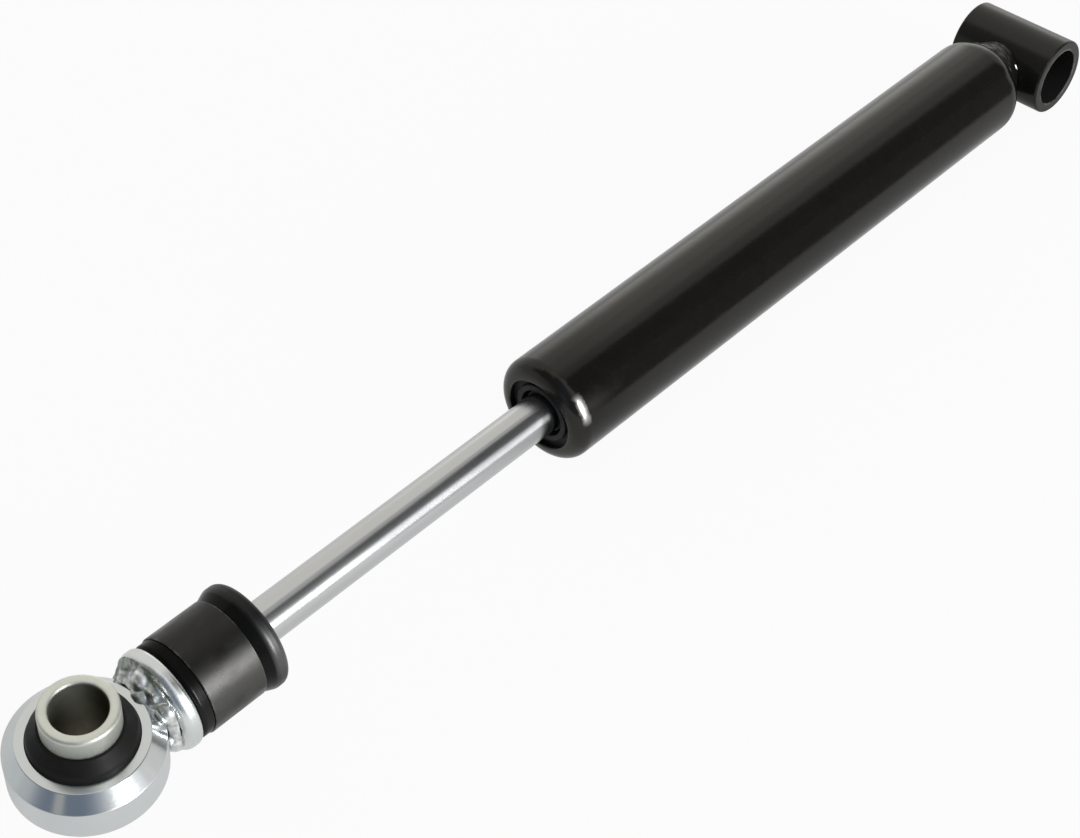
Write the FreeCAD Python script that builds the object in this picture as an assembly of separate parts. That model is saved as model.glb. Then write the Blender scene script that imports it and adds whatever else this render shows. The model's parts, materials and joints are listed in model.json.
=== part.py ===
import FreeCAD, Part
import math
import os

# Overrun damper of a trailer coupling: a single-tube gas damper with a plain cross tube as its rear eye
# and a rubber-bushed eye at the end of its chromed rod. Millimetres, +Z up.
# The origin is the middle of the rear eye's bore, +X runs along the damper to the rod eye, and the rear
# eye's bore lies along Y. The rod stands fully extended.

# Whole damper
EYE_TO_EYE = 386.3
ROD_DIAMETER = 12.0
ROD_TURN = -6.0             # degrees about X: the rod turns freely, and its eye lies this far off square
BUFFER_GAP = 0.4            # left between the buffer and the tube's lip at full compression

# Cylinder tube
TUBE_DIAMETER = 32.0
TUBE_WALL = 2.0
TUBE_REAR_X = 16.5
TUBE_FRONT_X = 229.0
DOME_ROUNDING = 8.0
DOME_OPENING = 7.6          # radius of the hole that the base plug's boss comes through
LIP_ROUNDING = 4.5
LIP_OPENING = 11.0          # radius inside the rolled lip
LIP_EDGE = 0.4

# Rear eye and its weld
REAR_EYE_DIAMETER = 25.0
REAR_EYE_BORE = 18.5
REAR_EYE_LENGTH = 34.0
REAR_EYE_CHAMFER = 0.2
REAR_EYE_EDGE = 0.7
REAR_WELD_FILLET = (8.6, 11.6)  # radius at the rear eye and at the dome
REAR_WELD_OFFSET = (0.0, -0.5, 0.8)  # it lies a little high on the dome
REAR_WELD_ROWS = (0.15, 0.5, 0.85)  # share of the way from the rear eye to the dome
REAR_WELD_RIPPLES = 18      # in each row
REAR_WELD_RIPPLE = (2.6, 3.2)  # smallest and largest ripple radius
REAR_WELD_RISE = 0.45       # the ripples stand this far out of the fillet

# Base plug
PLUG_LENGTH = 11.5
PRESS_GAP = 0.03            # radial room between pieces pressed together

# Guide pack behind the rolled lip, from the front
CAP_LENGTH = 4.0
CAP_BOSS_RADIUS = 9.2
CAP_BOSS_HEIGHT = 1.0
CAP_BOSS_EDGE = 0.5
CAP_BORE = 7.3              # radius
CAP_BORE_EDGE = 0.3
WIPER_RADIUS = 10.0
WIPER_SEAT = 2.0
WIPER_LIP_REACH = 1.7
WIPER_LIP_LAND = 0.6        # length of the lip that touches the rod
WIPER_LIP_EDGE = 0.4        # thickness of the lip at its end
WIPER_LIP_ROOT = 1.0        # from the rod to the outside of the lip at its root
WIPER_HOLLOW = (0.8, 0.9)   # length and height of the hollow under the lip
SEAL_LENGTH = 6.0
SEAL_LIP_INSET = 0.3
SEAL_LIP_WALL = 1.5
SEAL_LIP_LAND = 1.7
SEAL_HOLLOW = 3.2           # depth of the groove that opens to the oil
SEAL_HOLLOW_WALLS = (2.5, 2.7)  # beside the groove's floor, at the rod and at the bore
SEAL_SKIRT = 1.9            # thickness of the outer wall at its end
SEAL_RELIEF = 0.8           # room between rod and seal behind the lip
BACKING_THICKNESS = 1.5
BACKING_GAP = 0.4           # radial room round the rod
GUIDE_LENGTH = 12.0
GUIDE_GROOVE = 3.2
GUIDE_GROOVE_EDGE = 0.3
GUIDE_O_RING = 0.98         # section radius
BUSH_WALL = 1.47
BUSH_INSET = 1.0
BUSH_CHAMFER = 0.4
SNAP_WIRE = 0.8             # section radius
SNAP_SPLIT = 5.0
SIDE_GAP = 0.1              # radial room between the guide pack and the bore
RUNNING_GAP = 0.03          # radial clearance of a sliding fit

# Piston and valves, from the guide inwards
STOP_REST_GAP = 0.3
REBOUND_STOP_LENGTH = 9.2
REBOUND_STOP_RADIUS = 10.3
REBOUND_STOP_ROUNDING = (1.0, 2.2)  # on the plate side and on the guide side
PLATE_THICKNESS = 2.0
PLATE_RADIUS = 11.0
SHIM_RADII = (9.6, 8.6, 7.2)
SHIM_THICKNESS = 0.4
PISTON_LENGTH = 12.0
PISTON_RADIUS = 13.75
PISTON_STEP = 1.8           # the rim of each piston face lies this far back
SEAT_RADII = (6.2, 8.6, 9.8)  # inner and outer edge of the port groove, outer edge of the seat
PORT_GROOVE = 1.0
PORT_RADIUS = 1.2
PORT_INLET = 11.1           # distance of a port's open end from the axis
PORT_OVERSHOOT = 0.06       # share of a port's length that its cut runs past each end
PORT_PAIRS = 4
BAND_WIDTH = 5.8
BAND_FLOOR = 12.3
BAND_SPLIT = 0.6
BAND_SPLIT_SLANT = 30.0     # degrees
WASHER_THICKNESS = 1.5
WASHER_RADIUS = 7.8
NUT_LENGTH = 6.5
NUT_ACROSS_FLATS = 13.0
NUT_CHAMFER = 1.0
SPIGOT_RADIUS = 4.0
SPIGOT_TAIL = 1.6
SPIGOT_CHAMFER = 0.6

# Floating piston
FLOAT_LENGTH = 14.0
FLOAT_ROD_GAP = 5.0         # left between rod and floating piston at full compression
FLOAT_EDGE = 0.5
FLOAT_CUP = 9.5
FLOAT_CUP_ROUNDING = 1.5
FLOAT_FLOOR = 8.0
FLOAT_GROOVE = (5.2, 9.0)   # from the gas side
FLOAT_GROOVE_FLOOR = 11.7
FLOAT_O_RING = 1.12

# Rod eye
EYE_DIAMETER = 39.2
EYE_WIDTH = 17.0
EYE_HOLE = 27.6
EYE_LAND = 16.15            # outer radius of the flat faces
EYE_BAND = 9.0              # width of the cylindrical wall between the bevels
EYE_EDGE = 0.3
SLEEVE_BORE = 14.2
SLEEVE_DIAMETER = 19.7
SLEEVE_LENGTH = 40.0
SLEEVE_CHAMFER = 0.35
SLEEVE_EDGE = 0.7
RUBBER_REACH = 13.6         # half height of the bush's rubber at the sleeve
RUBBER_TOP = (0.6, 0.4)     # thickness there, and its rounding
RUBBER_SHOULDER = (10.4, 13.2)  # half height and radius of its widest bulge
RUBBER_SHOULDER_ROUNDING = 2.0
RUBBER_FOOT = 7.9

# Buffer, stop disc and the weld to the eye
DISC_THICKNESS = 5.0
DISC_RADIUS = 14.3
DISC_ROUNDING = (1.2, 2.8)  # on the buffer side and on the eye side
ROOT_GAP = 0.2              # between disc and eye ring, filled by the weld
ROD_END_SPIGOT = 5.0
BUFFER_LIP = 3.7
BUFFER_LIP_RADIUS = 13.8
BUFFER_LIP_ROUNDING = (0.2, 1.4)  # on the band side and on the disc side
BUFFER_BAND = 16.4
BUFFER_BAND_RADIUS = 14.2
BUFFER_BAND_EDGE = 0.25
BUFFER_CORE_RADIUS = 12.7
BUFFER_SHOULDER = 3.7       # length of the cone between band and flange
BUFFER_SHOULDER_RADIUS = 13.7  # where the cone meets the band
BUFFER_FLANGE = 3.3
BUFFER_FLANGE_RADIUS = 15.3
BUFFER_FLANGE_ROUNDING = (1.7, 2.5)  # on the tube side and on the cone side
EYE_WELD_FILLET = ((-1.2, 13.6), (1.4, 11.0), (4.2, 7.8))  # distance from the disc's face and radius
EYE_WELD_ROWS = ((0.0, 9.6), (2.6, 6.4))  # the same for the middles of two rows of ripples
EYE_WELD_RIPPLES = 12       # in each row
EYE_WELD_RIPPLE = (2.5, 3.4)  # smallest and largest ripple radius
EYE_WELD_OFFSET = (0.0, -0.4, 0.6)  # it lies a little high on the disc
RIPPLE_RHYTHM = 2.4         # turns the ripple number into an uneven run of sizes

# Stations along the axis, worked out from the sizes above
ROD_RADIUS = ROD_DIAMETER / 2
TUBE_RADIUS = TUBE_DIAMETER / 2
BORE = TUBE_RADIUS - TUBE_WALL
REAR_EYE_RADIUS = REAR_EYE_DIAMETER / 2

LIP_INSIDE_X = TUBE_FRONT_X - TUBE_WALL
CAP_X = LIP_INSIDE_X - CAP_LENGTH
SEAL_X = CAP_X - SEAL_LENGTH
BACKING_X = SEAL_X - BACKING_THICKNESS
GUIDE_X = BACKING_X - GUIDE_LENGTH
SNAP_X = GUIDE_X - SNAP_WIRE

STOP_X = GUIDE_X - STOP_REST_GAP
SHOULDER_X = STOP_X - REBOUND_STOP_LENGTH
PLATE_X = SHOULDER_X - PLATE_THICKNESS
SHIM_STACK = SHIM_THICKNESS * len(SHIM_RADII)
PISTON_FRONT_X = PLATE_X - SHIM_STACK
PISTON_REAR_X = PISTON_FRONT_X - PISTON_LENGTH
WASHER_X = PISTON_REAR_X - SHIM_STACK - WASHER_THICKNESS
NUT_X = WASHER_X - NUT_LENGTH
ROD_TIP_X = NUT_X - SPIGOT_TAIL

DISC_FACE_X = EYE_TO_EYE - EYE_DIAMETER / 2 - ROOT_GAP
DISC_X = DISC_FACE_X - DISC_THICKNESS
BUFFER_BAND_X = DISC_X - BUFFER_LIP - BUFFER_BAND
BUFFER_FLANGE_X = BUFFER_BAND_X - BUFFER_SHOULDER - BUFFER_FLANGE
STROKE = BUFFER_FLANGE_X - TUBE_FRONT_X - BUFFER_GAP

FLOAT_TRAVEL = STROKE * (ROD_RADIUS / BORE) ** 2
FLOAT_FRONT_X = ROD_TIP_X - STROKE - FLOAT_ROD_GAP + FLOAT_TRAVEL
FLOAT_X = FLOAT_FRONT_X - FLOAT_LENGTH

X_AXIS = FreeCAD.Vector(1, 0, 0)
Y_AXIS = FreeCAD.Vector(0, 1, 0)
Z_AXIS = FreeCAD.Vector(0, 0, 1)
ORIGIN = FreeCAD.Vector(0, 0, 0)


def outline(corners):
    """Closed wire through corners (x, radius); a third value rounds that corner."""
    points = [FreeCAD.Vector(corner[0], 0, corner[1]) for corner in corners]
    edges = []
    ends = []
    for index, corner in enumerate(corners):
        here = points[index]
        if len(corner) == 2:
            ends.append((here, here))
            continue
        rounding = corner[2]
        back = (points[index - 1] - here).normalize()
        ahead = (points[(index + 1) % len(points)] - here).normalize()
        half_angle = back.getAngle(ahead) / 2
        reach = rounding / math.tan(half_angle)
        middle = (back + ahead).normalize() * (rounding / math.sin(half_angle) - rounding)
        ends.append((here + back * reach, here + ahead * reach))
        edges.append(Part.Arc(ends[-1][0], here + middle, ends[-1][1]).toShape())
    for index, (enter, _) in enumerate(ends):
        leave = ends[index - 1][1]
        if leave.distanceToPoint(enter) > 1e-6:
            edges.append(Part.makeLine(leave, enter))
    return Part.Wire(Part.__sortEdges__(edges))


def turned(*corners):
    """Solid of revolution about the damper's axis from the corners of its half section."""
    return Part.Face(outline(corners)).revolve(ORIGIN, X_AXIS, 360)


def across(shape):
    """A shape turned about X laid along the rear eye's axis."""
    return shape.rotated(ORIGIN, Z_AXIS, 90)


def at_rod_eye(shape):
    """A shape turned about X stood on the rod eye's axis."""
    upright = shape.rotated(ORIGIN, Y_AXIS, -90)
    return upright.translated(X_AXIS * EYE_TO_EYE).rotated(ORIGIN, X_AXIS, ROD_TURN)


def ring(x, ring_radius, section_radius):
    """Round-section ring about the damper's axis."""
    return Part.makeTorus(ring_radius, section_radius, X_AXIS * x, X_AXIS)


def spokes(shape, count, first_angle=0.0):
    """Copies of a shape spread evenly about the damper's axis."""
    return [shape.rotated(ORIGIN, X_AXIS, first_angle + 360 * i / count) for i in range(count)]


def between(limits, share):
    """Value a share of the way from the first limit to the second."""
    first, second = limits
    return first + (second - first) * share


def ripple_radius(index, limits):
    """Weld ripples differ a little in size."""
    return between(limits, 0.5 + 0.5 * math.sin(RIPPLE_RHYTHM * index))


def polar(x, radius, angle):
    """Point at a distance and an angle about the damper's axis."""
    return FreeCAD.Vector(x, radius * math.cos(angle), radius * math.sin(angle))


# Cylinder

def cylinder_tube():
    tube = turned(
        (TUBE_REAR_X, DOME_OPENING),
        (TUBE_REAR_X, TUBE_RADIUS, DOME_ROUNDING),
        (TUBE_FRONT_X, TUBE_RADIUS, LIP_ROUNDING),
        (TUBE_FRONT_X, LIP_OPENING, LIP_EDGE),
        (LIP_INSIDE_X, LIP_OPENING),
        (LIP_INSIDE_X, BORE, LIP_ROUNDING - TUBE_WALL),
        (TUBE_REAR_X + TUBE_WALL, BORE, DOME_ROUNDING - TUBE_WALL),
        (TUBE_REAR_X + TUBE_WALL, DOME_OPENING),
    )
    return tube.cut(ring(SNAP_X, BORE, SNAP_WIRE + PRESS_GAP))


def rear_eye_tube():
    half = REAR_EYE_LENGTH / 2
    bore = REAR_EYE_BORE / 2
    return across(turned(
        (-half, bore + REAR_EYE_CHAMFER),
        (REAR_EYE_CHAMFER - half, bore),
        (half - REAR_EYE_CHAMFER, bore),
        (half, bore + REAR_EYE_CHAMFER),
        (half, REAR_EYE_RADIUS, REAR_EYE_EDGE),
        (-half, REAR_EYE_RADIUS, REAR_EYE_EDGE),
    ))


def rear_eye_blank():
    """The rear eye without its bore, to shape what is welded to it."""
    half = REAR_EYE_LENGTH / 2
    return across(turned((-half, 0), (-half, REAR_EYE_RADIUS), (half, REAR_EYE_RADIUS), (half, 0)))


def base_plug():
    """Plug inside the dome, with a boss that comes through it and is saddled to the rear eye."""
    seat_x = TUBE_REAR_X + TUBE_WALL + PRESS_GAP
    boss_radius = DOME_OPENING - PRESS_GAP
    boss_x = math.sqrt(REAR_EYE_RADIUS ** 2 - DOME_OPENING ** 2)
    plug = turned(
        (boss_x, 0),
        (boss_x, boss_radius),
        (seat_x, boss_radius),
        (seat_x, BORE - PRESS_GAP, DOME_ROUNDING - TUBE_WALL - PRESS_GAP),
        (seat_x + PLUG_LENGTH, BORE - PRESS_GAP),
        (seat_x + PLUG_LENGTH, 0),
    )
    return plug.cut(rear_eye_blank())


def dome_x(radius):
    """Where along the damper's axis the outside of the dome has a radius."""
    rise = max(0.0, radius - TUBE_RADIUS + DOME_ROUNDING)
    return TUBE_REAR_X + DOME_ROUNDING - math.sqrt(DOME_ROUNDING ** 2 - rise ** 2)


def dome_blank():
    """The rear end of the tube without its inside, to shape what is welded to it."""
    return turned(
        (TUBE_REAR_X, 0),
        (TUBE_REAR_X, TUBE_RADIUS, DOME_ROUNDING),
        (TUBE_FRONT_X, TUBE_RADIUS),
        (TUBE_FRONT_X, 0),
    )


def rear_weld_bead(plug):
    """Low fillet that widens from the rear eye to the dome, rippled in rows."""
    offset = FreeCAD.Vector(*REAR_WELD_OFFSET)
    eye_radius, dome_radius = REAR_WELD_FILLET
    eye_end = math.sqrt(REAR_EYE_RADIUS ** 2 - eye_radius ** 2)
    dome_end = dome_x(dome_radius)
    inside_dome = TUBE_REAR_X + DOME_ROUNDING
    fillet = turned(
        (0, 0),
        (0, eye_radius),
        (eye_end, eye_radius),
        (dome_end, dome_radius),
        (inside_dome, dome_radius),
        (inside_dome, 0),
    ).translated(offset)
    ripples = []
    for row, share in enumerate(REAR_WELD_ROWS):
        for index in range(REAR_WELD_RIPPLES):
            angle = 2 * math.pi * (index + row / 2) / REAR_WELD_RIPPLES
            foot_x = math.sqrt(REAR_EYE_RADIUS ** 2 - (eye_radius * math.sin(angle)) ** 2)
            x = between((foot_x, dome_end), share)
            surface = between(REAR_WELD_FILLET, (x - eye_end) / (dome_end - eye_end))
            size = ripple_radius(row * REAR_WELD_RIPPLES + index, REAR_WELD_RIPPLE)
            middle = polar(x, surface + REAR_WELD_RISE - size, angle)
            ripples.append(Part.makeSphere(size, middle + offset))
    return fillet.multiFuse(ripples).cut([rear_eye_blank(), dome_blank(), plug])


# Guide pack

def dust_cap():
    edge = LIP_ROUNDING - TUBE_WALL - SIDE_GAP
    return turned(
        (CAP_X, WIPER_RADIUS),
        (CAP_X, BORE - SIDE_GAP),
        (LIP_INSIDE_X, BORE - SIDE_GAP, edge),
        (LIP_INSIDE_X, CAP_BOSS_RADIUS),
        (LIP_INSIDE_X + CAP_BOSS_HEIGHT, CAP_BOSS_RADIUS, CAP_BOSS_EDGE),
        (LIP_INSIDE_X + CAP_BOSS_HEIGHT, CAP_BORE, CAP_BORE_EDGE),
        (CAP_X + WIPER_SEAT, CAP_BORE),
        (CAP_X + WIPER_SEAT, WIPER_RADIUS),
    )


def rod_wiper():
    """Ring in the cap's seat with a lip that leans out along the rod."""
    lip = ROD_RADIUS + RUNNING_GAP
    heel = CAP_X + WIPER_SEAT
    tip = heel + WIPER_LIP_REACH
    hollow_length, hollow_height = WIPER_HOLLOW
    return turned(
        (CAP_X, lip + hollow_height),
        (CAP_X, WIPER_RADIUS),
        (heel, WIPER_RADIUS),
        (heel, lip + WIPER_LIP_ROOT),
        (tip, lip + WIPER_LIP_EDGE),
        (tip, lip),
        (tip - WIPER_LIP_LAND, lip),
        (heel - hollow_length, lip + hollow_height),
    )


def rod_seal():
    """Lip seal, open towards the oil."""
    lip = ROD_RADIUS + RUNNING_GAP
    lip_x = SEAL_X + SEAL_LIP_INSET
    outside = BORE - SIDE_GAP
    floor_x = SEAL_X + SEAL_HOLLOW
    rod_wall, bore_wall = SEAL_HOLLOW_WALLS
    return turned(
        (lip_x, lip),
        (lip_x, lip + SEAL_LIP_WALL),
        (floor_x, lip + rod_wall),
        (floor_x, outside - bore_wall),
        (SEAL_X, outside - SEAL_SKIRT),
        (SEAL_X, outside),
        (CAP_X, outside),
        (CAP_X, lip + SEAL_RELIEF),
        (lip_x + SEAL_HOLLOW, lip + SEAL_RELIEF),
        (lip_x + SEAL_LIP_LAND, lip),
    )


def seal_backing_washer():
    bore = ROD_RADIUS + BACKING_GAP
    outside = BORE - SIDE_GAP
    return turned((BACKING_X, bore), (BACKING_X, outside), (SEAL_X, outside), (SEAL_X, bore))


def rod_guide():
    bore = ROD_RADIUS + RUNNING_GAP + BUSH_WALL
    outside = BORE - SIDE_GAP
    groove_x = GUIDE_X + (GUIDE_LENGTH - GUIDE_GROOVE) / 2
    groove_floor = BORE - 2 * GUIDE_O_RING - PRESS_GAP
    return turned(
        (GUIDE_X, bore),
        (GUIDE_X, outside),
        (groove_x, outside),
        (groove_x, groove_floor, GUIDE_GROOVE_EDGE),
        (groove_x + GUIDE_GROOVE, groove_floor, GUIDE_GROOVE_EDGE),
        (groove_x + GUIDE_GROOVE, outside),
        (BACKING_X, outside),
        (BACKING_X, bore),
    )


def guide_bush():
    bore = ROD_RADIUS + RUNNING_GAP
    rear = GUIDE_X + BUSH_INSET
    front = BACKING_X - BUSH_INSET
    return turned(
        (rear, bore + BUSH_CHAMFER),
        (rear, bore + BUSH_WALL),
        (front, bore + BUSH_WALL),
        (front, bore + BUSH_CHAMFER),
        (front - BUSH_CHAMFER, bore),
        (rear + BUSH_CHAMFER, bore),
    )


def guide_o_ring():
    return ring(GUIDE_X + GUIDE_LENGTH / 2, BORE - GUIDE_O_RING - PRESS_GAP / 2, GUIDE_O_RING)


def guide_snap_ring():
    """Split wire ring, half in the tube's groove."""
    gap = Part.makeBox(SNAP_SPLIT, SNAP_SPLIT, BORE)
    gap = gap.translated(FreeCAD.Vector(SNAP_X - SNAP_SPLIT / 2, -SNAP_SPLIT / 2, BORE / 2))
    return ring(SNAP_X, BORE, SNAP_WIRE).cut(gap)


# Rod, piston and valves

def piston_rod():
    return turned(
        (ROD_TIP_X, 0),
        (ROD_TIP_X, SPIGOT_RADIUS - SPIGOT_CHAMFER),
        (ROD_TIP_X + SPIGOT_CHAMFER, SPIGOT_RADIUS),
        (SHOULDER_X, SPIGOT_RADIUS),
        (SHOULDER_X, ROD_RADIUS),
        (DISC_X, ROD_RADIUS),
        (DISC_X, ROD_END_SPIGOT),
        (DISC_FACE_X, ROD_END_SPIGOT),
        (DISC_FACE_X, 0),
    )


def rebound_stop():
    plate_side, guide_side = REBOUND_STOP_ROUNDING
    return turned(
        (SHOULDER_X, ROD_RADIUS),
        (SHOULDER_X, REBOUND_STOP_RADIUS, plate_side),
        (STOP_X, REBOUND_STOP_RADIUS, guide_side),
        (STOP_X, ROD_RADIUS),
    )


def washer(x, thickness, radius):
    """Flat washer on the rod's inner spigot."""
    end = x + thickness
    return turned((x, SPIGOT_RADIUS), (x, radius), (end, radius), (end, SPIGOT_RADIUS))


def shims(first_x, step):
    """Stack of thin discs, the largest on the piston."""
    discs = []
    for index, radius in enumerate(SHIM_RADII):
        x = first_x + step * SHIM_THICKNESS * index
        discs.append(washer(min(x, x + step * SHIM_THICKNESS), SHIM_THICKNESS, radius))
    return Part.makeCompound(discs)


def piston():
    """Piston with a seat, a port groove and open port ends on each face."""
    hub, seat_inside, seat_outside = SEAT_RADII
    front, rear = PISTON_FRONT_X, PISTON_REAR_X
    band_rear = (front + rear - BAND_WIDTH) / 2 - SIDE_GAP
    band_front = (front + rear + BAND_WIDTH) / 2 + SIDE_GAP
    body = turned(
        (rear, SPIGOT_RADIUS),
        (rear, hub),
        (rear + PORT_GROOVE, hub),
        (rear + PORT_GROOVE, seat_inside),
        (rear, seat_inside),
        (rear, seat_outside),
        (rear + PISTON_STEP, seat_outside),
        (rear + PISTON_STEP, PISTON_RADIUS),
        (band_rear, PISTON_RADIUS),
        (band_rear, BAND_FLOOR),
        (band_front, BAND_FLOOR),
        (band_front, PISTON_RADIUS),
        (front - PISTON_STEP, PISTON_RADIUS),
        (front - PISTON_STEP, seat_outside),
        (front, seat_outside),
        (front, seat_inside),
        (front - PORT_GROOVE, seat_inside),
        (front - PORT_GROOVE, hub),
        (front, hub),
        (front, SPIGOT_RADIUS),
    )
    outlet = (hub + seat_inside) / 2
    forward = port(rear + PISTON_STEP, front - PORT_GROOVE, outlet)
    backward = port(front - PISTON_STEP, rear + PORT_GROOVE, outlet)
    ports = spokes(forward, PORT_PAIRS) + spokes(backward, PORT_PAIRS, 180 / PORT_PAIRS)
    return body.cut(ports)


def port(inlet_x, outlet_x, outlet):
    """Slanted passage from a face's open rim to the other face's port groove."""
    start = FreeCAD.Vector(inlet_x, 0, PORT_INLET)
    run = FreeCAD.Vector(outlet_x, 0, outlet) - start
    length = run.Length * (1 + 2 * PORT_OVERSHOOT)
    return Part.makeCylinder(PORT_RADIUS, length, start - run * PORT_OVERSHOOT, run)


def piston_band():
    """Band in the piston's groove, split on a slant so that it can be sprung in."""
    middle = (PISTON_FRONT_X + PISTON_REAR_X) / 2
    rear, front = middle - BAND_WIDTH / 2, middle + BAND_WIDTH / 2
    inside, outside = BAND_FLOOR + SIDE_GAP, BORE - RUNNING_GAP
    band = turned((rear, inside), (rear, outside), (front, outside), (front, inside))
    split = Part.makeBox(4 * BAND_WIDTH, BAND_SPLIT, BORE)
    split = split.translated(FreeCAD.Vector(-2 * BAND_WIDTH, -BAND_SPLIT / 2, 0))
    return band.cut(split.rotated(ORIGIN, Z_AXIS, BAND_SPLIT_SLANT).translated(X_AXIS * middle))


def piston_nut():
    corner = NUT_ACROSS_FLATS / math.sqrt(3)
    corners = [polar(NUT_X, corner, math.pi * i / 3) for i in range(7)]
    hexagon = Part.Face(Part.makePolygon(corners)).extrude(X_AXIS * NUT_LENGTH)
    blank = turned(
        (NUT_X, SPIGOT_RADIUS),
        (NUT_X, corner - NUT_CHAMFER),
        (NUT_X + NUT_CHAMFER / 2, corner),
        (WASHER_X, corner),
        (WASHER_X, SPIGOT_RADIUS),
    )
    return hexagon.common(blank)


# Floating piston

def floating_piston():
    outside = BORE - 2 * RUNNING_GAP
    groove_rear, groove_front = FLOAT_X + FLOAT_GROOVE[0], FLOAT_X + FLOAT_GROOVE[1]
    floor_x = FLOAT_FRONT_X - FLOAT_FLOOR
    return turned(
        (floor_x, 0),
        (floor_x, FLOAT_CUP, FLOAT_CUP_ROUNDING),
        (FLOAT_X, FLOAT_CUP),
        (FLOAT_X, outside, FLOAT_EDGE),
        (groove_rear, outside),
        (groove_rear, FLOAT_GROOVE_FLOOR),
        (groove_front, FLOAT_GROOVE_FLOOR),
        (groove_front, outside),
        (FLOAT_FRONT_X, outside, FLOAT_EDGE),
        (FLOAT_FRONT_X, 0),
    )


def floating_piston_o_ring():
    return ring(FLOAT_X + sum(FLOAT_GROOVE) / 2, BORE - RUNNING_GAP - FLOAT_O_RING, FLOAT_O_RING)


# Buffer and rod eye

def buffer_rubber():
    """Moulded stop: flange, cone, the core inside the band, and a lip against the disc."""
    lip_x = DISC_X - BUFFER_LIP
    band_side, disc_side = BUFFER_LIP_ROUNDING
    flange_end = BUFFER_FLANGE_X + BUFFER_FLANGE
    tube_side, cone_side = BUFFER_FLANGE_ROUNDING
    return turned(
        (BUFFER_FLANGE_X, ROD_RADIUS),
        (BUFFER_FLANGE_X, BUFFER_FLANGE_RADIUS, tube_side),
        (flange_end, BUFFER_FLANGE_RADIUS, cone_side),
        (BUFFER_BAND_X, BUFFER_SHOULDER_RADIUS),
        (BUFFER_BAND_X, BUFFER_CORE_RADIUS),
        (lip_x, BUFFER_CORE_RADIUS),
        (lip_x, BUFFER_LIP_RADIUS, band_side),
        (DISC_X, BUFFER_LIP_RADIUS, disc_side),
        (DISC_X, ROD_RADIUS),
    )


def buffer_band():
    end = BUFFER_BAND_X + BUFFER_BAND
    return turned(
        (BUFFER_BAND_X, BUFFER_CORE_RADIUS),
        (BUFFER_BAND_X, BUFFER_BAND_RADIUS, BUFFER_BAND_EDGE),
        (end, BUFFER_BAND_RADIUS, BUFFER_BAND_EDGE),
        (end, BUFFER_CORE_RADIUS),
    )


def stop_disc():
    buffer_side, eye_side = DISC_ROUNDING
    return turned(
        (DISC_X, ROD_END_SPIGOT),
        (DISC_X, DISC_RADIUS, buffer_side),
        (DISC_FACE_X, DISC_RADIUS, eye_side),
        (DISC_FACE_X, ROD_END_SPIGOT),
    )


def eye_section(hole):
    """Half section of the bevelled eye ring down to a radius."""
    face = EYE_WIDTH / 2
    wall = EYE_BAND / 2
    outside = EYE_DIAMETER / 2
    return (
        (-face, hole),
        (-face, EYE_LAND, EYE_EDGE),
        (-wall, outside, EYE_EDGE),
        (wall, outside, EYE_EDGE),
        (face, EYE_LAND, EYE_EDGE),
        (face, hole),
    )


def rod_eye_ring():
    return at_rod_eye(turned(*eye_section(EYE_HOLE / 2)))


def rod_eye_weld():
    """Rippled fillet from the stop disc's rounded edge to the eye ring, in two rows."""
    offset = FreeCAD.Vector(*EYE_WELD_OFFSET)
    slope = [(DISC_FACE_X + distance, radius) for distance, radius in EYE_WELD_FILLET]
    fillet = turned((slope[0][0], 0), *slope, (slope[-1][0], 0)).translated(offset)
    ripples = []
    for row, (distance, radius) in enumerate(EYE_WELD_ROWS):
        for index in range(EYE_WELD_RIPPLES):
            angle = 2 * math.pi * (index + row / 2) / EYE_WELD_RIPPLES
            size = ripple_radius(row * EYE_WELD_RIPPLES + index, EYE_WELD_RIPPLE)
            ripples.append(Part.makeSphere(size, polar(DISC_FACE_X + distance, radius, angle) + offset))
    disc_blank = turned(
        (DISC_X, 0),
        (DISC_X, DISC_RADIUS),
        (DISC_FACE_X, DISC_RADIUS, DISC_ROUNDING[1]),
        (DISC_FACE_X, 0),
    )
    eye_blank = at_rod_eye(turned(*eye_section(0)))
    return fillet.multiFuse(ripples).cut(disc_blank).cut(eye_blank)


def bush_rubber():
    """Rubber between ring and sleeve, swelling out of the ring on both sides."""
    sleeve = SLEEVE_DIAMETER / 2 + RUNNING_GAP
    hole = EYE_HOLE / 2
    shoulder_z, shoulder_radius = RUBBER_SHOULDER
    top_thickness, top_rounding = RUBBER_TOP
    top = sleeve + top_thickness
    return at_rod_eye(turned(
        (-RUBBER_REACH, sleeve),
        (-RUBBER_REACH, top, top_rounding),
        (-shoulder_z, shoulder_radius, RUBBER_SHOULDER_ROUNDING),
        (-RUBBER_FOOT, hole),
        (RUBBER_FOOT, hole),
        (shoulder_z, shoulder_radius, RUBBER_SHOULDER_ROUNDING),
        (RUBBER_REACH, top, top_rounding),
        (RUBBER_REACH, sleeve),
    ))


def bush_sleeve():
    half = SLEEVE_LENGTH / 2
    bore = SLEEVE_BORE / 2
    outside = SLEEVE_DIAMETER / 2
    return at_rod_eye(turned(
        (-half, bore + SLEEVE_CHAMFER),
        (SLEEVE_CHAMFER - half, bore),
        (half - SLEEVE_CHAMFER, bore),
        (half, bore + SLEEVE_CHAMFER),
        (half, outside, SLEEVE_EDGE),
        (-half, outside, SLEEVE_EDGE),
    ))


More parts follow.
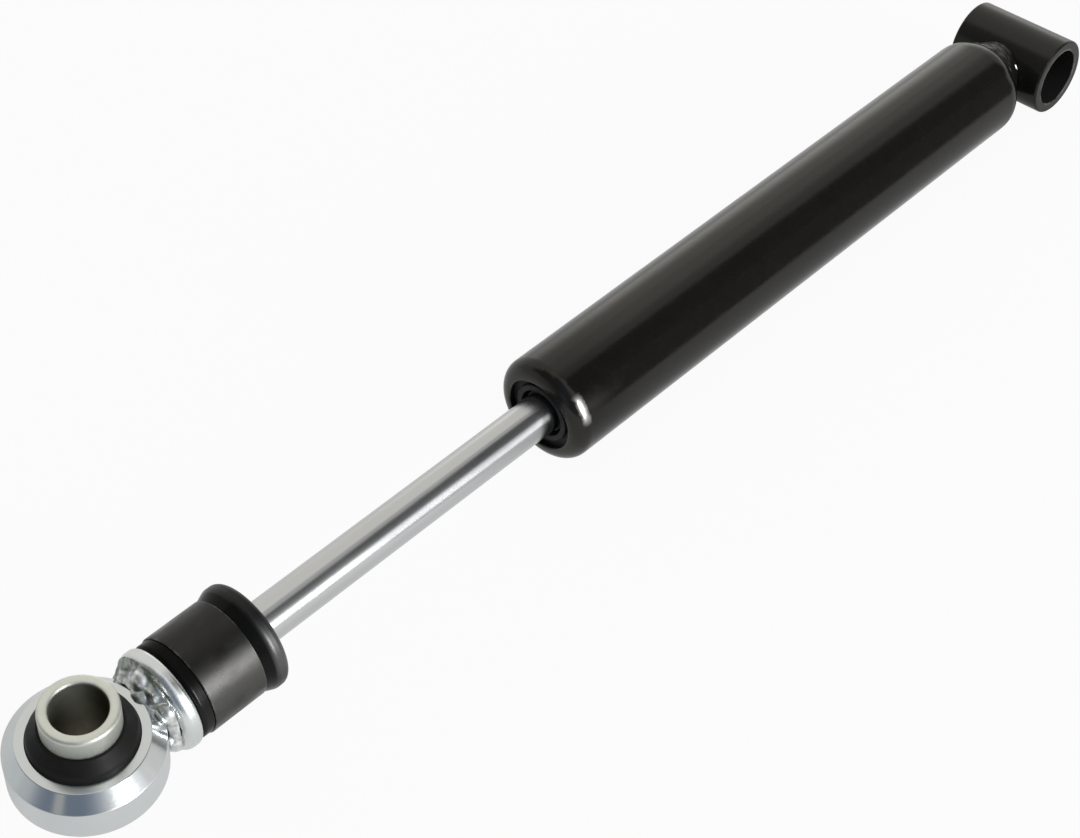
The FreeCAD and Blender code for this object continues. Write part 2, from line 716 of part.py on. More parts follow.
def damper():
    """Every piece of the damper by its node name."""
    plug = base_plug()
    return {
        "cylinder_tube": cylinder_tube(),
        "rear_eye_tube": rear_eye_tube(),
        "base_plug": plug,
        "rear_weld_bead": rear_weld_bead(plug),
        "dust_cap": dust_cap(),
        "rod_wiper": rod_wiper(),
        "rod_seal": rod_seal(),
        "seal_backing_washer": seal_backing_washer(),
        "rod_guide": rod_guide(),
        "guide_bush": guide_bush(),
        "guide_o_ring": guide_o_ring(),
        "guide_snap_ring": guide_snap_ring(),
        "piston_rod": piston_rod(),
        "rebound_stop": rebound_stop(),
        "rebound_stop_plate": washer(PLATE_X, PLATE_THICKNESS, PLATE_RADIUS),
        "compression_shims": shims(PISTON_FRONT_X, 1),
        "piston": piston(),
        "piston_band": piston_band(),
        "rebound_shims": shims(PISTON_REAR_X, -1),
        "shim_washer": washer(WASHER_X, WASHER_THICKNESS, WASHER_RADIUS),
        "piston_nut": piston_nut(),
        "floating_piston": floating_piston(),
        "floating_piston_o_ring": floating_piston_o_ring(),
        "buffer_rubber": buffer_rubber(),
        "buffer_band": buffer_band(),
        "stop_disc": stop_disc(),
        "rod_eye_ring": rod_eye_ring(),
        "rod_eye_weld": rod_eye_weld(),
        "bush_rubber": bush_rubber(),
        "bush_sleeve": bush_sleeve(),
    }


os.makedirs("parts", exist_ok=True)
for node, shape in damper().items():
    if not shape.isValid():
        raise ValueError(f"{node} is not a sound solid")
    shape.exportStep(f"parts/{node}.step")
    print(f"{node}: {len(shape.Solids)} solid, {shape.Volume:.0f} mm3")
print(f"stroke {STROKE:.2f} mm, floating piston travel {FLOAT_TRAVEL:.2f} mm")
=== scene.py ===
import bpy
import json
import math
from mathutils import Matrix, Vector


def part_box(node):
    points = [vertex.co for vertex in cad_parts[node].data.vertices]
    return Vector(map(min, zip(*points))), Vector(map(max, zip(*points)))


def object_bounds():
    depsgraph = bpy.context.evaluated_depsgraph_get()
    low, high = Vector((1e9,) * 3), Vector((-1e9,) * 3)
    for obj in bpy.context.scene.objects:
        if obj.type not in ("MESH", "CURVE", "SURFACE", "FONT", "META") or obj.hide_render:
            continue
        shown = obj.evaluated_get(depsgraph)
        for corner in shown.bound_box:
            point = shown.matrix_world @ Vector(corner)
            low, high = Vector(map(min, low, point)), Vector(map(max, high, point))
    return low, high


# Overrun damper in a plain studio: gloss black tube, chromed rod, rubber buffer and zinc-plated rod eye.
# Metres. Materials read their place on the part in millimetres.

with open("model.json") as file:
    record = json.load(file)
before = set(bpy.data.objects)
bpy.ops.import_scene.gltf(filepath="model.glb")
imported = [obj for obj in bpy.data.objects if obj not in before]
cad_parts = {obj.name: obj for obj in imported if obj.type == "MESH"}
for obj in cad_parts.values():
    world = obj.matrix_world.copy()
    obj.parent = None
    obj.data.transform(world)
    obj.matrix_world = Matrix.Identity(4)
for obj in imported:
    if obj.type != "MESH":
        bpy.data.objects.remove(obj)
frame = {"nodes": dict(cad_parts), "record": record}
cad_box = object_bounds()
nodes = frame["nodes"]


def mount(name):
    """The record's entry for one mount."""
    return next(entry for entry in frame["record"]["mounts"] if entry["name"] == name)


# Places that the finishes need, in millimetres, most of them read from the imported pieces
MM = 1000.0
EYE = Vector(mount("rod_eye_bore")["pos_m"]) * MM
EYE_AXIS = Vector(mount("rod_eye_bore")["axis"])
EYE_TURN = -math.atan2(EYE_AXIS.y, EYE_AXIS.z)
SLEEVE_BORE = mount("rod_eye_bore")["dims"]["r_mm"]
EYE_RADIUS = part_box("rod_eye_ring")[1].x * MM - EYE.x
EYE_FACE = 8.5              # half the width of the rod eye's ring
SLEEVE_END = 20.0           # half the length of the rod eye's sleeve
TUBE_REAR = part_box("cylinder_tube")[0].x * MM
REAR_EYE_BORE = mount("rear_eye_bore")["dims"]["r_mm"]
REAR_EYE_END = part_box("rear_eye_tube")[1].y * MM
BAND_LOW, BAND_HIGH = (corner.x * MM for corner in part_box("buffer_band"))
FLANGE_EDGE = BAND_LOW - 2.8  # where the buffer's flange turns into its cone

# Shares of X, Y and Z in the distance from an axis
AROUND_X = (0.0, 1.0, 1.0)
AROUND_Y = (1.0, 0.0, 1.0)
AROUND_Z = (1.0, 1.0, 0.0)

# Marks of wear and welding, and places of painted highlight, painted light and painted shade, in
# millimetres; a pair is where a mark begins and ends, or fades in and is full
GLINT_SPOT_X = (224.1, 226.3)   # painted highlight: bare metallic spot where the lamp's glint falls on the tube's lip, along the tube
GLINT_SPOT_TURN = (0.30, 0.78)  # and round it, in radians from +Y
DULL_LIP_X = (190.0, 224.0)
WELD_GLEAM_SPOT = (12.4, 8.0, 6.2)  # painted highlight: bare metallic drop on the rear weld, placed to give its gleam
WELD_GLEAM_RADIUS = (1.15, 0.70)
WELD_GLEAM_MIDDLE = (9.1, 0.9, 1.9)  # middle of the ball whose normals the gleam spot takes
LIT_SIDE_Y = (6.0, 13.0)     # painted light: paler side of the buffer, toward the window
LIT_SIDE_Z = (-4.0, 3.0)
LIT_WELD_Y = (3.0, 11.0)  # painted light: paler side of the rod eye's weld, toward the window
LIT_BORE_WAY = (0.35, -0.93, 0.0)  # painted light: direction of the lit side of the sleeve's bore
LIT_BORE_ACROSS = (-4.0, 6.0)
LIT_BORE_ALONG = (4.0, 17.0)
SLEEVE_ROUNDING = 1.3
WELD_VOXEL = 0.28           # grain of the mesh that the welds' lumps are pushed out of

# Camera, as fitted to the photograph of 1080 by 838 pixels
IMAGE_WIDTH = 1080
CAMERA_AT = Vector((0.5335, 0.2969, 0.4185))
CAMERA_LOOKS_AT = Vector((0.2283, 0.0, -0.00197))
CAMERA_ROLL = math.radians(-1.188)
FOCAL_PIXELS = 2158.36
SENSOR_WIDTH = 36.0

# Floor: half its width in metres, and the share of white that the camera sees on it
FLOOR_SIZE = 6.0
FLOOR_WHITE = 0.94
# Share of white that mirror-like surfaces see on it: beside the tube, where less white is a painted shadow,
# elsewhere, and toward the window, where more white is painted light
FLOOR_MIRRORED = (0.22, 0.62, 0.95)
# Zones of the floor in millimetres, each from where it fades in to where it is full; beside the tube and
# behind the eye they are painted shadow in reflections
FRONT_Y = (8.0, 24.0)
REAR_CORNER_X = (30.0, 15.0)
REAR_CORNER_Y = (-60.0, -20.0)
BESIDE_TUBE_X = (255.0, 195.0)
BEHIND_EYE_X = (362.0, 378.0)
BEHIND_EYE_Y = (-10.0, -24.0)
BEHIND_EYE_SHARE = 0.4
WINDOW_Y = (0.0, 80.0)

# Dark strip beside the tube in millimetres: span along the tube, distance, span in height and soft edge
FLAG_X = (-90.0, 180.0)
FLAG_Y = 80.0
FLAG_Z = (-14.0, 60.0)
FLAG_SOFT = 10.0

# Cards round the part, in degrees: azimuth, half width, lowest and highest height, softness in azimuth and
# in height; then the colour
CARDS = (
    ((0, 180, 65, 90, 6, 6), (0.62, 0.61, 0.59)),
    ((-110, 85, -90, 72, 8, 8), (0.87, 0.855, 0.82)),
    ((-142, 20, -25, 18, 5, 9), (1.50, 1.48, 1.40)),
    ((-52, 28, -90, 24, 8, 8), (0.66, 0.68, 0.69)),
    ((26, 40, -90, 90, 25, 6), (0.19, 0.23, 0.30)),
    ((-20, 40, 24, 70, 12, 8), (0.20, 0.20, 0.19)),
    ((172, 14, 12, 80, 14, 8), (0.53, 0.53, 0.52)),
    ((140, 24, 12, 65, 5, 6), (0.095, 0.095, 0.095)),
    ((150, 14, -20, 12, 4, 5), (0.82, 0.82, 0.80)),
    ((103, 20, -14, 32, 4, 7), (1.05, 1.07, 1.10)),
    ((19, 5, 6, 30, 3, 3), (0.48, 0.49, 0.47)),
)


class Graph:
    """Node tree of one new material or world, with short calls for the nodes that the finishes share."""

    def __init__(self, owner):
        owner.use_nodes = True
        self.owner = owner
        self.tree = owner.node_tree
        self.shader = self.tree.nodes.get("Principled BSDF")

    def node(self, kind, *inputs, **settings):
        made = self.tree.nodes.new("ShaderNode" + kind)
        for name, value in settings.items():
            setattr(made, name, value)
        for socket, value in inputs:
            self.feed(made.inputs[socket], value)
        return made

    def feed(self, socket, value):
        if isinstance(value, bpy.types.NodeSocket):
            self.tree.links.new(value, socket)
        else:
            socket.default_value = value

    def set(self, **values):
        """Feeds the shader; an underscore in a name stands for a space."""
        for name, value in values.items():
            self.feed(self.shader.inputs[name.replace("_", " ")], value)

    def show(self, shader, output):
        self.tree.links.new(shader.outputs[0], self.tree.nodes[output].inputs["Surface"])

    def math(self, operation, a, b=0.0):
        return self.node("Math", (0, a), (1, b), operation=operation).outputs[0]

    def vector(self, operation, a, b=(0.0, 0.0, 0.0)):
        return self.node("VectorMath", (0, a), (1, b), operation=operation)

    def position(self):
        """Place on the part in millimetres."""
        here = self.node("TexCoord").outputs["Object"]
        return self.vector("MULTIPLY", here, (MM, MM, MM)).outputs[0]

    def at_eye(self):
        """Place in millimetres from the rod eye's middle, with Z along its axis."""
        return self.node("Mapping", (0, self.position()), ("Location", EYE),
                         ("Rotation", (EYE_TURN, 0.0, 0.0)), vector_type="TEXTURE").outputs[0]

    def along(self, vector, axis):
        return self.node("SeparateXYZ", (0, vector)).outputs[axis]

    def stretch(self, vector, scale):
        return self.vector("MULTIPLY", vector, scale).outputs[0]

    def radius(self, vector, keep):
        """Distance from an axis; keep has 0 for the axis and 1 for the other two."""
        return self.vector("LENGTH", self.stretch(vector, keep)).outputs["Value"]

    def noise(self, vector, size, detail=2.0, roughness=0.5):
        """Smooth noise whose features are about size millimetres."""
        made = self.node("TexNoise", ("Vector", vector), ("Scale", 1 / size), ("Detail", detail),
                         ("Roughness", roughness))
        return made.outputs["Fac"]

    def span(self, value, low, high, to_low=0.0, to_high=1.0):
        """Smooth step of a value from one span to another."""
        made = self.node("MapRange", ("Value", value), ("From Min", low), ("From Max", high),
                         ("To Min", to_low), ("To Max", to_high), interpolation_type="SMOOTHSTEP")
        return made.outputs["Result"]

    def window(self, value, low, high, soft):
        """1 between two values, with soft edges."""
        rise = self.span(value, low - soft, low + soft)
        fall = self.span(value, high + soft, high - soft)
        return self.math("MULTIPLY", rise, fall)

    def colour(self):
        """What feeds the shader's colour so far."""
        return self.shader.inputs["Base Color"].links[0].from_socket

    def gloss(self):
        """What feeds the shader's roughness so far."""
        return self.shader.inputs["Roughness"].links[0].from_socket

    def normal(self):
        """What feeds the shader's normal so far."""
        return self.shader.inputs["Normal"].links[0].from_socket

    def round_axis(self, axis):
        """Direction round an axis."""
        return self.node("Tangent", direction_type="RADIAL", axis=axis).outputs[0]

    def blend(self, factor, a, b):
        return self.node("Mix", (0, factor), (6, a), (7, b), data_type="RGBA").outputs[2]

    def between(self, factor, a, b):
        """Mix of two numbers."""
        return self.node("Mix", (0, factor), (2, a), (3, b), data_type="FLOAT").outputs[0]

    def bump(self, height, depth, normal=None):
        """Bump whose height of 1 stands depth millimetres proud."""
        made = self.node("Bump", ("Height", height), ("Strength", 1.0), ("Distance", depth / MM))
        if normal is not None:
            self.feed(made.inputs["Normal"], normal)
        return made.outputs[0]


def rgb(red, green, blue):
    return (red, green, blue, 1.0)


def finish(name):
    """Graph of a new material."""
    return Graph(bpy.data.materials.new(name))


# Finishes

def black_paint(name, roughness):
    """Gloss black paint with orange peel, soft sags and dust."""
    g = finish(name)
    here = g.position()
    sags = g.noise(here, 9.0)
    peel = g.noise(here, 1.1, 2.0, 0.45)
    haze = g.noise(here, 3.5, 4.0, 0.6)
    dust = g.span(g.noise(here, 0.35, 1.0), 0.68, 0.78)
    tint = g.blend(sags, rgb(0.0040, 0.0038, 0.0035), rgb(0.0060, 0.0056, 0.0050))
    colour = g.blend(g.math("MULTIPLY", dust, 0.15), tint, rgb(0.06, 0.057, 0.053))
    gloss = g.span(haze, 0.3, 0.75, roughness, roughness + 0.07)
    g.set(Base_Color=colour, Roughness=g.between(dust, gloss, roughness + 0.17), IOR=1.5,
          Specular_Tint=rgb(1.0, 0.97, 0.89))
    g.set(Normal=g.bump(peel, 0.008, g.bump(sags, 0.04)))
    return g


def tube_paint():
    """Black paint, with one bare metallic spot on the rolled lip that makes the lamp's glint there, a
    painted highlight.
    """
    g = black_paint("black_paint", 0.13)
    here = g.position()
    edge = g.math("MULTIPLY", g.math("SUBTRACT", g.noise(here, 1.2), 0.5), 1.2)
    turn = g.math("ARCTAN2", g.along(here, 2), g.along(here, 1))
    # painted highlight: metallic spot on the lip, placed where the lamp's glint falls
    bright_patch = g.math("MULTIPLY", g.window(g.math("ADD", g.along(here, 0), edge), *GLINT_SPOT_X, 0.6),
                    g.window(turn, *GLINT_SPOT_TURN, 0.10))
    g.set(Base_Color=g.blend(bright_patch, g.colour(), rgb(0.44, 0.43, 0.40)), Metallic=bright_patch,
          Roughness=g.between(bright_patch, g.gloss(), 0.24),
          Specular_IOR_Level=g.span(g.along(here, 0), *DULL_LIP_X, 0.50, 0.36))
    return g.owner


def eye_paint():
    """Black paint, dull on the cut ends of the rear eye, thin and paler at the bore's edges, where the paler
    colour is also a painted highlight for the edge glints, and dusty inside it.
    """
    g = black_paint("black_eye", 0.15)
    here = g.position()
    out = g.radius(here, AROUND_Y)
    end = g.span(g.math("ABSOLUTE", g.along(here, 1)), REAR_EYE_END - 0.5, REAR_EYE_END - 0.1)
    inside = g.span(out, REAR_EYE_BORE + 0.4, REAR_EYE_BORE + 0.1)
    edge = g.math("MULTIPLY", end, g.span(out, REAR_EYE_BORE + 0.9, REAR_EYE_BORE + 0.3))
    # paler paint at the bore's edges: thin paint there, and a painted highlight for the edge glints
    thin_paint_and_glint = g.math("MULTIPLY", edge, g.span(g.noise(here, 5.0), 0.40, 0.60))
    shade = g.vector("ADD", g.colour(), (0.007, 0.007, 0.0063)).outputs[0]
    shade = g.blend(inside, shade, rgb(0.020, 0.0195, 0.0185))
    g.set(Base_Color=g.blend(thin_paint_and_glint, shade, rgb(0.11, 0.108, 0.10)),
          Specular_IOR_Level=g.between(end, 0.30, 0.26))
    return g.owner


def weld_paint():
    """Black paint over the rear weld, with one bare metallic drop at the weld's lower end that takes the
    normals of a smooth ball, a painted highlight that gives the weld's gleam.
    """
    g = black_paint("black_weld", 0.32)
    here = g.position()
    # painted highlight: metallic spot with a ball's normals where the weld's gleam shows
    gleam_spot = g.span(g.vector("DISTANCE", here, WELD_GLEAM_SPOT).outputs["Value"], *WELD_GLEAM_RADIUS)
    smooth = g.vector("NORMALIZE", g.vector("SUBTRACT", here, WELD_GLEAM_MIDDLE).outputs[0]).outputs[0]
    g.set(Base_Color=g.blend(gleam_spot, g.colour(), rgb(0.52, 0.51, 0.47)), Metallic=gleam_spot,
          Roughness=g.between(gleam_spot, g.gloss(), 0.26), Normal=g.blend(gleam_spot, g.normal(), smooth))
    return g.owner


def hard_chrome():
    """Ground and chromed rod with fine lines round it."""
    g = finish("hard_chrome")
    here = g.position()
    lines = g.noise(g.stretch(here, (6.0, 0.6, 0.6)), 1.0, 3.0, 0.6)
    smears = g.noise(g.stretch(here, (0.25, 1.0, 1.0)), 5.0, 3.0)
    colour = g.blend(smears, rgb(0.53, 0.535, 0.535), rgb(0.57, 0.575, 0.58))
    g.set(Base_Color=colour, Metallic=1.0, Roughness=g.span(smears, 0.3, 0.7, 0.17, 0.21))
    g.set(Anisotropic=0.80, Anisotropic_Rotation=0.25, Tangent=g.round_axis("X"))
    g.set(Normal=g.bump(lines, 0.0006))
    return g.owner


def plated(g, here, keep, low, high):
    """Zinc plate over a turned surface, with fine lines round the axis that keep leaves out.

    Gives its cloudy colour and its grain.
    """
    clouds = g.noise(here, 6.0, 3.0)
    grain = g.noise(here, 0.5, 3.0, 0.65)
    out = g.radius(here, keep)
    along = g.radius(here, tuple(1.0 - share for share in keep))
    lines = g.noise(g.node("CombineXYZ", ("X", out), ("Y", along)).outputs[0], 0.22)
    g.set(Metallic=1.0, Normal=g.bump(lines, 0.0012, g.bump(grain, 0.0012)))
    return g.blend(clouds, rgb(*low), rgb(*high)), grain


def zinc_ring():
    """Bright on the turned bevels, satin on the flat faces and the wall."""
    g = finish("zinc_ring")
    here = g.at_eye()
    colour, grain = plated(g, here, AROUND_Z, (0.60, 0.635, 0.645), (0.66, 0.672, 0.66))
    height = g.math("ABSOLUTE", g.along(here, 2))
    face = g.span(height, EYE_FACE - 0.25, EYE_FACE - 0.05)
    wall = g.span(g.radius(here, AROUND_Z), EYE_RADIUS - 0.25, EYE_RADIUS - 0.05)
    bright = g.span(grain, 0.3, 0.75, 0.13, 0.20)
    g.set(Base_Color=colour, Roughness=g.between(wall, g.between(face, bright, 0.22), 0.34))
    return g.owner


def zinc_disc():
    """Bright zinc plate, turned round the rod's axis."""
    g = finish("zinc_disc")
    colour, grain = plated(g, g.position(), AROUND_X, (0.63, 0.66, 0.66), (0.70, 0.715, 0.705))
    g.set(Base_Color=colour, Roughness=g.span(grain, 0.3, 0.75, 0.22, 0.32))
    return g.owner


def zinc_sleeve():
    """Satin and faintly green with rounded edges, paler on its cut ends as painted light on the end face,
    stained olive inside the bore with painted light on its lit side and painted shade on the rest.
    """
    g = finish("zinc_sleeve")
    here = g.at_eye()
    colour, grain = plated(g, here, AROUND_Z, (0.54, 0.565, 0.515), (0.62, 0.64, 0.585))
    cut_end = g.span(g.math("ABSOLUTE", g.along(here, 2)), SLEEVE_END - 0.25, SLEEVE_END - 0.05)
    # painted light: paler colour on the sleeve's cut ends, for the light on its end face
    lit_end = g.blend(g.noise(here, 2.0, 3.0), rgb(0.66, 0.67, 0.60), rgb(0.73, 0.74, 0.67))
    inside = g.span(g.radius(here, AROUND_Z), SLEEVE_BORE + 0.3, SLEEVE_BORE + 0.1)
    blotches = g.noise(here, 3.0, 3.0)
    # painted shade and painted light inside the bore: olive stain, dark on most of the bore and paler on the
    # side that the lamp lights
    shaded_stain = g.blend(blotches, rgb(0.11, 0.104, 0.072), rgb(0.20, 0.188, 0.132))
    lit_side = g.blend(blotches, rgb(0.42, 0.43, 0.38), rgb(0.52, 0.53, 0.47))
    toward = g.vector("DOT_PRODUCT", here, LIT_BORE_WAY).outputs["Value"]
    lit_patch = g.math("MULTIPLY", g.span(toward, *LIT_BORE_ACROSS),
                      g.span(g.along(here, 2), *LIT_BORE_ALONG))
    stain_lit_and_shaded = g.blend(lit_patch, shaded_stain, lit_side)
    g.set(Base_Color=g.blend(inside, g.blend(cut_end, colour, lit_end), stain_lit_and_shaded),
          Roughness=g.span(grain, 0.3, 0.75, 0.40, 0.50))
    rounded = g.node("Bevel", ("Radius", SLEEVE_ROUNDING / MM), samples=8).outputs[0]
    g.set(Normal=g.bump(grain, 0.010, rounded))
    return g.owner


def zinc_weld():
    """Zinc plate over a rough weld, greenish and dark in its hollow as painted shade, brighter toward +Y as
    painted light, and brighter on the ring.
    """
    g = finish("zinc_weld")
    here = g.position()
    patches = g.noise(here, 1.8, 4.0, 0.6)
    grain = g.noise(here, 0.3)
    thick = g.span(patches, 0.38, 0.66)
    # painted shade in the weld's hollow and painted light on its side toward +Y
    shaded_hollow = g.blend(thick, rgb(0.13, 0.15, 0.13), rgb(0.36, 0.39, 0.36))
    bright = g.blend(thick, rgb(0.50, 0.525, 0.515), rgb(0.80, 0.82, 0.81))
    on_ring = g.span(g.radius(g.at_eye(), AROUND_Z), EYE_RADIUS + 0.2, EYE_RADIUS - 0.5)
    lit_side = g.math("MAXIMUM", g.span(g.along(here, 1), *LIT_WELD_Y), on_ring)
    g.set(Base_Color=g.blend(lit_side, shaded_hollow, bright), Metallic=1.0,
          Roughness=g.span(patches, 0.3, 0.7, 0.46, 0.26))
    g.set(Normal=g.bump(grain, 0.006))
    return g.owner


def rubber(name, low_roughness, high_roughness, tone):
    """Black moulded rubber with a fine grain and a faint bloom."""
    g = finish(name)
    here = g.position()
    grain = g.noise(here, 0.25, 3.0, 0.6)
    bloom = g.noise(here, 4.0, 4.0, 0.6)
    colour = g.blend(bloom, rgb(tone, 0.97 * tone, 0.94 * tone), rgb(2 * tone, 1.95 * tone, 1.88 * tone))
    g.set(Base_Color=colour, Roughness=g.span(bloom, 0.3, 0.7, low_roughness, high_roughness), IOR=1.5)
    g.set(Normal=g.bump(grain, 0.005, g.bump(bloom, 0.03)))
    return g


def bush_rubber():
    """Dull rubber of the eye's bush."""
    g = rubber("bush_rubber", 0.42, 0.54, 0.0045)
    g.set(Specular_IOR_Level=0.16)
    return g.owner


def painted_light_side(g):
    """1 on the side of the buffer that faces +Y, fading out above and below it: where painted light makes
    the buffer paler.
    """
    here = g.position()
    return g.math("MULTIPLY", g.span(g.along(here, 1), *LIT_SIDE_Y), g.span(g.along(here, 2), *LIT_SIDE_Z))


def buffer_rubber():
    """Satin on the flange that meets the tube, dull on its cone and its lip, and paler and glossier on its
    side toward +Y as painted light.
    """
    g = rubber("buffer_rubber", 0.18, 0.28, 0.0030)
    x = g.along(g.position(), 0)
    cone = g.span(x, FLANGE_EDGE - 0.4, FLANGE_EDGE + 0.4)
    lip = g.span(x, BAND_HIGH - 0.4, BAND_HIGH)
    flange = g.span(x, FLANGE_EDGE, FLANGE_EDGE - 1.0)
    lit_face = painted_light_side(g)
    rim_gloss = g.between(lit_face, 0.26, 0.80)
    lip_gloss = g.between(lit_face, 0.04, 0.18)
    g.set(Specular_IOR_Level=g.between(cone, rim_gloss, g.between(lip, 0.10, lip_gloss)))
    # painted light: paler flange on the side toward +Y
    g.set(Base_Color=g.blend(g.math("MULTIPLY", lit_face, flange), g.colour(), rgb(0.030, 0.030, 0.030)),
          Roughness=g.between(flange, g.gloss(), 0.35))
    return g.owner


def dark_steel():
    """Dark phosphated band with a cloudy satin, paler on one side as painted light, and faintly rubbed at
    its rims.
    """
    g = finish("dark_steel")
    here = g.position()
    clouds = g.noise(g.stretch(here, (0.6, 1.0, 1.0)), 3.6, 4.0, 0.55)
    crystals = g.noise(here, 0.18)
    x = g.along(here, 0)
    near_rim = g.math("MINIMUM", g.math("SUBTRACT", x, BAND_LOW), g.math("SUBTRACT", BAND_HIGH, x))
    bright_patch = g.math("MULTIPLY", g.span(near_rim, 0.6, 0.1), g.span(clouds, 0.4, 0.7))
    # painted light and painted shade: the band's tone is paler on the side toward +Y and darker elsewhere
    shaded_tone = g.blend(clouds, rgb(0.029, 0.028, 0.0268), rgb(0.043, 0.042, 0.0403))
    lit_tone = g.blend(clouds, rgb(0.052, 0.051, 0.049), rgb(0.122, 0.121, 0.116))
    tint = g.blend(painted_light_side(g), shaded_tone, lit_tone)
    g.set(Base_Color=g.blend(bright_patch, tint, rgb(0.16, 0.158, 0.152)), Metallic=1.0,
          Roughness=g.span(clouds, 0.3, 0.7, 0.42, 0.25))
    g.set(Normal=g.bump(crystals, 0.004, g.bump(clouds, 0.02)))
    return g.owner


def satin(name, low, high, metallic, roughness, size, depth, gloss=0.5):
    """Cloudy satin finish of the cap and the pieces inside the tube.

    low and high are its darkest and palest colour. size is the width of a cloud and depth the height of its
    grain, in millimetres.
    """
    g = finish(name)
    here = g.position()
    clouds = g.noise(here, size, 4.0, 0.6)
    grain = g.noise(here, 0.2)
    g.set(Base_Color=g.blend(clouds, rgb(*low), rgb(*high)), Metallic=metallic, Specular_IOR_Level=gloss,
          Roughness=g.span(clouds, 0.3, 0.7, roughness - 0.06, roughness + 0.06),
          Normal=g.bump(grain, depth))
    return g.owner


def dress(material, *names):
    """Gives pieces a material in place of their plain one."""
    for name in names:
        slots = nodes[name].data.materials
        slots.clear()
        slots.append(material)


dress(tube_paint(), "cylinder_tube")
dress(eye_paint(), "rear_eye_tube")
dress(weld_paint(), "rear_weld_bead")
dress(hard_chrome(), "piston_rod")
dress(zinc_ring(), "rod_eye_ring")
dress(zinc_sleeve(), "bush_sleeve")
dress(zinc_disc(), "stop_disc")
dress(zinc_weld(), "rod_eye_weld")
dress(bush_rubber(), "bush_rubber", "rebound_stop")
dress(buffer_rubber(), "buffer_rubber")
dress(dark_steel(), "buffer_band")
dress(satin("cap_black", (0.010, 0.010, 0.010), (0.016, 0.0156, 0.015), metallic=0.0,
            roughness=0.54, size=2.0, depth=0.006, gloss=0.22),
      "dust_cap")
dress(satin("seal_rubber", (0.006, 0.006, 0.006), (0.011, 0.011, 0.011), metallic=0.0,
            roughness=0.50, size=2.0, depth=0.004, gloss=0.15),
      "rod_wiper", "rod_seal", "guide_o_ring", "floating_piston_o_ring")
dress(satin("plain_steel", (0.40, 0.40, 0.41), (0.52, 0.52, 0.53), metallic=1.0,
            roughness=0.30, size=3.0, depth=0.003),
      "base_plug", "seal_backing_washer", "rebound_stop_plate", "shim_washer", "piston_nut")
dress(satin("spring_steel", (0.30, 0.31, 0.33), (0.40, 0.41, 0.43), metallic=1.0,
            roughness=0.28, size=3.0, depth=0.002),
      "guide_snap_ring", "compression_shims", "rebound_shims")
dress(satin("guide_alloy", (0.66, 0.66, 0.68), (0.76, 0.76, 0.78), metallic=1.0,
            roughness=0.30, size=4.0, depth=0.003),
      "rod_guide", "floating_piston")
dress(satin("bearing_bronze", (0.50, 0.34, 0.17), (0.62, 0.44, 0.24), metallic=1.0,
            roughness=0.32, size=2.0, depth=0.004),
      "guide_bush")
dress(satin("sintered_iron", (0.20, 0.20, 0.21), (0.30, 0.30, 0.31), metallic=1.0,
            roughness=0.50, size=1.0, depth=0.012),
      "piston")
dress(satin("band_plastic", (0.10, 0.08, 0.06), (0.15, 0.12, 0.09), metallic=0.0,
            roughness=0.48, size=1.5, depth=0.004),
      "piston_band")


# Welds

def crumple(name, lump, height, middle, easing):
    """Breaks up a weld's even ripples.

    lump is the width of a bulge and height its rise, in millimetres. middle is the level of the noise that
    stays on the weld's own surface, and easing the number of smoothing passes.
    """
    weld = nodes[name]
    fine = weld.modifiers.new("fine_mesh", "REMESH")
    fine.mode = "VOXEL"
    fine.voxel_size = WELD_VOXEL / MM
    fine.use_smooth_shade = True
    bulges = bpy.data.textures.new(name, "CLOUDS")
    bulges.noise_scale = lump / MM
    bulges.noise_depth = 1
    push = weld.modifiers.new("bulges", "DISPLACE")
    push.texture = bulges
    push.texture_coords = "LOCAL"
    push.strength = height / MM
    push.mid_level = middle
    ease = weld.modifiers.new("ease", "SMOOTH")
    ease.iterations = easing


crumple("rod_eye_weld", lump=6.0, height=1.8, middle=0.40, easing=30)
crumple("rear_weld_bead", lump=4.0, height=0.5, middle=0.40, easing=50)


# Studio

def sheet(name, corners):
    """Flat sheet between four corners."""
    mesh = bpy.data.meshes.new(name)
    mesh.from_pydata(corners, [], [(0, 1, 2, 3)])
    made = bpy.data.objects.new(name, mesh)
    bpy.context.scene.collection.objects.link(made)
    return made


